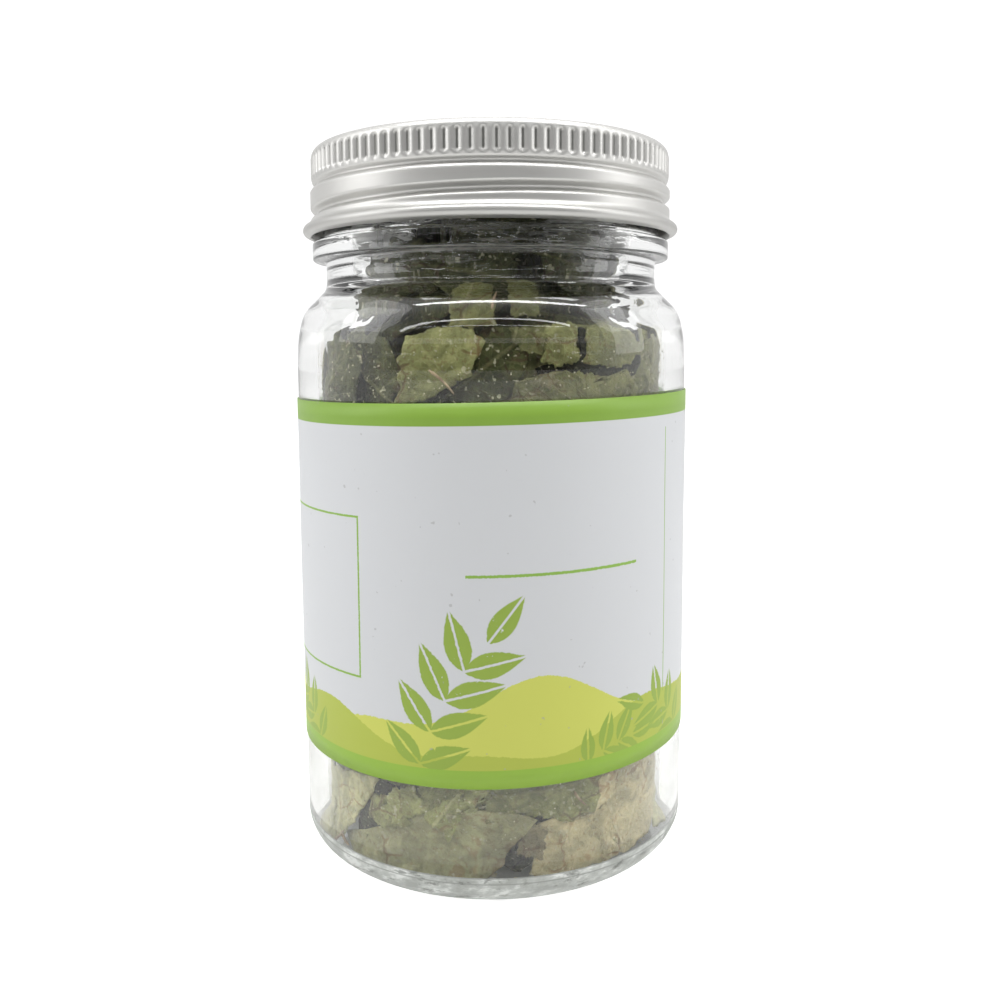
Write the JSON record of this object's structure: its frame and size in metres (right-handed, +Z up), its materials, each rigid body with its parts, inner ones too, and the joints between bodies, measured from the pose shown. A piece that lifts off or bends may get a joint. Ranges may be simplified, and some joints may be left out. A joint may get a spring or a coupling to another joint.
{
  "type": "glass jar of dried curry leaves",
  "caption": "Round clear glass jar filled with loose dried curry leaves, with a knurled aluminium screw lid, a sealing liner and a wrap-round paper label.",
  "frame": {"origin": "centre of the base on the plane that the jar stands on", "axes": "+Z up along the axis of the jar, lid and thread; -Y to the front of the label; +X to the front's right"},
  "size_m": [0.0608, 0.0608, 0.1058],
  "materials": {
    "glass": "clear, smooth, stippled on the base",
    "label_paper": "smooth coated paper with a green band along each long edge",
    "lid_aluminium": "satin, clear lacquered",
    "liner": "matt",
    "leaf_green": "dry, dull",
    "leaf_dark": "dry, dull",
    "leaf_pale": "dry, dull",
    "leaf_tan": "dry, dull"
  },
  "bodies": {
    "jar": {"glass_jar": "glass", "paper_label": "label_paper", "leaf_high_01": "leaf_green", "leaf_high_02": "leaf_dark", "leaf_high_03": "leaf_green", "leaf_high_04": "leaf_dark", "leaf_high_05": "leaf_green", "leaf_high_06": "leaf_green", "leaf_high_07": "leaf_dark", "leaf_high_08": "leaf_dark", "leaf_high_09": "leaf_dark", "leaf_high_10": "leaf_dark", "leaf_high_11": "leaf_green", "leaf_high_12": "leaf_green", "leaf_low_01": "leaf_green", "leaf_low_02": "leaf_tan", "leaf_low_03": "leaf_green", "leaf_low_04": "leaf_pale", "leaf_low_05": "leaf_tan", "leaf_low_06": "leaf_pale", "leaf_low_07": "leaf_green", "leaf_low_08": "leaf_tan", "leaf_low_09": "leaf_green", "leaf_low_10": "leaf_green", "leaf_mid_01": "leaf_green", "leaf_mid_02": "leaf_pale", "leaf_mid_03": "leaf_green", "leaf_mid_04": "leaf_pale", "leaf_mid_05": "leaf_pale", "leaf_mid_06": "leaf_pale", "leaf_mid_07": "leaf_dark", "leaf_mid_08": "leaf_dark", "leaf_mid_09": "leaf_dark", "leaf_neck_01": "leaf_dark", "leaf_neck_02": "leaf_dark", "leaf_neck_03": "leaf_dark", "leaf_neck_04": "leaf_dark", "leaf_neck_05": "leaf_dark", "leaf_neck_06": "leaf_dark", "leaf_neck_07": "leaf_dark", "leaf_neck_08": "leaf_dark", "leaf_pack_high": "leaf_dark", "leaf_pack_low": "leaf_dark", "leaf_pack_mid": "leaf_dark", "leaf_pack_neck": "leaf_dark", "leaf_shoulder_01": "leaf_green", "leaf_shoulder_02": "leaf_dark", "leaf_shoulder_03": "leaf_dark", "leaf_shoulder_04": "leaf_green", "leaf_shoulder_05": "leaf_dark", "leaf_shoulder_06": "leaf_dark", "leaf_shoulder_07": "leaf_dark", "leaf_shoulder_08": "leaf_dark"},
    "liner": {"lid_liner": "liner"},
    "lid": {"lid_shell": "lid_aluminium"}
  },
  "joints": [
    {"name": "lid_rise", "type": "slide", "parent": "jar", "child": "liner", "axis": [0, 0, 1], "range_m": [0, 0.00239]},
    {"name": "lid_turn", "type": "hinge", "parent": "liner", "child": "lid", "pos_m": [0, 0, 0.1], "axis": [0, 0, 1], "range_deg": [0, 270]}
  ],
  "couplings": [
    {"joint": "lid_rise", "follows": "lid_turn", "m_per_rad": 0.00050532}
  ]
}
